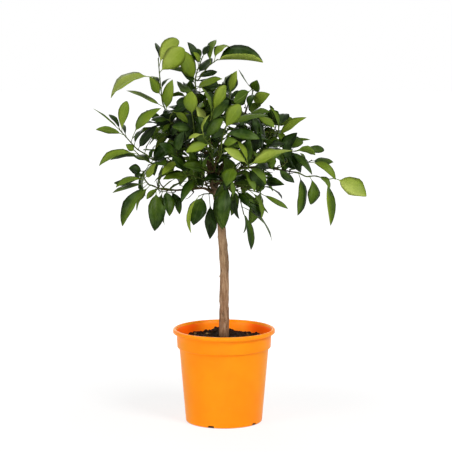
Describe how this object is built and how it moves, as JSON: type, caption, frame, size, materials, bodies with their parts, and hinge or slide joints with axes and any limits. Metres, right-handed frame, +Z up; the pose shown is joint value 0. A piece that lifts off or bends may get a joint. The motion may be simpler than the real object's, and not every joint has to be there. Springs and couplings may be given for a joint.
{
  "type": "potted orange tree",
  "caption": "Young potted citrus tree: a bare trunk with a leafy crown, standing in potting mix in a tapered orange nursery pot with drainage notches.",
  "frame": {"origin": "centre of the pot's flat base, on the surface that the pot stands on", "axes": "+Z up along the pot's axis, -Y to the front, +X to the right seen from the front"},
  "size_m": [0.5271, 0.3804, 0.7552],
  "materials": {
    "pot_plastic": "satin orange moulded plastic",
    "potting_mix": "dark crumbly potting mix",
    "bark": "grey-brown young bark",
    "leaf": "waxy green leaf"
  },
  "bodies": {
    "root": {"limb_back_left": "bark", "limb_back_low": "bark", "limb_back_right": "bark", "limb_back_upper": "bark", "limb_centre": "bark", "limb_front": "bark", "limb_left": "bark", "limb_low_left": "bark", "limb_low_right": "bark", "limb_right": "bark", "limb_right_middle": "bark", "limb_upper_left": "bark", "limb_upper_right": "bark", "pot": "pot_plastic", "potting_mix": "potting_mix", "shoot_back_left_inner": "leaf", "shoot_back_left_side": "leaf", "shoot_back_left_tip": "leaf", "shoot_back_low_side": "leaf", "shoot_back_low_tip": "leaf", "shoot_back_right_low": "leaf", "shoot_back_right_rise": "leaf", "shoot_back_right_tip": "leaf", "shoot_back_upper_side": "leaf", "shoot_back_upper_tip": "leaf", "shoot_front_left": "leaf", "shoot_front_low": "leaf", "shoot_front_middle": "leaf", "shoot_front_right": "leaf", "shoot_front_rise": "leaf", "shoot_inner_centre": "leaf", "shoot_inner_front": "leaf", "shoot_inner_left": "leaf", "shoot_inner_low": "leaf", "shoot_inner_right": "leaf", "shoot_inner_right_front": "leaf", "shoot_left_inner": "leaf", "shoot_left_long": "leaf", "shoot_left_low": "leaf", "shoot_left_rise": "leaf", "shoot_low_left_hanging": "leaf", "shoot_low_left_inner": "leaf", "shoot_low_left_tip": "leaf", "shoot_low_right_hanging": "leaf", "shoot_low_right_tip": "leaf", "shoot_right_crest": "leaf", "shoot_right_crest_low": "leaf", "shoot_right_front": "leaf", "shoot_right_long": "leaf", "shoot_right_middle": "leaf", "shoot_right_tip_upper": "leaf", "shoot_right_under": "leaf", "shoot_right_upper": "leaf", "shoot_top": "leaf", "shoot_top_right": "leaf", "shoot_upper_left_side": "leaf", "shoot_upper_left_tip": "leaf", "shoot_upper_right_inner": "leaf", "shoot_upper_right_tip": "leaf", "trunk": "bark"}
  },
  "joints": []
}
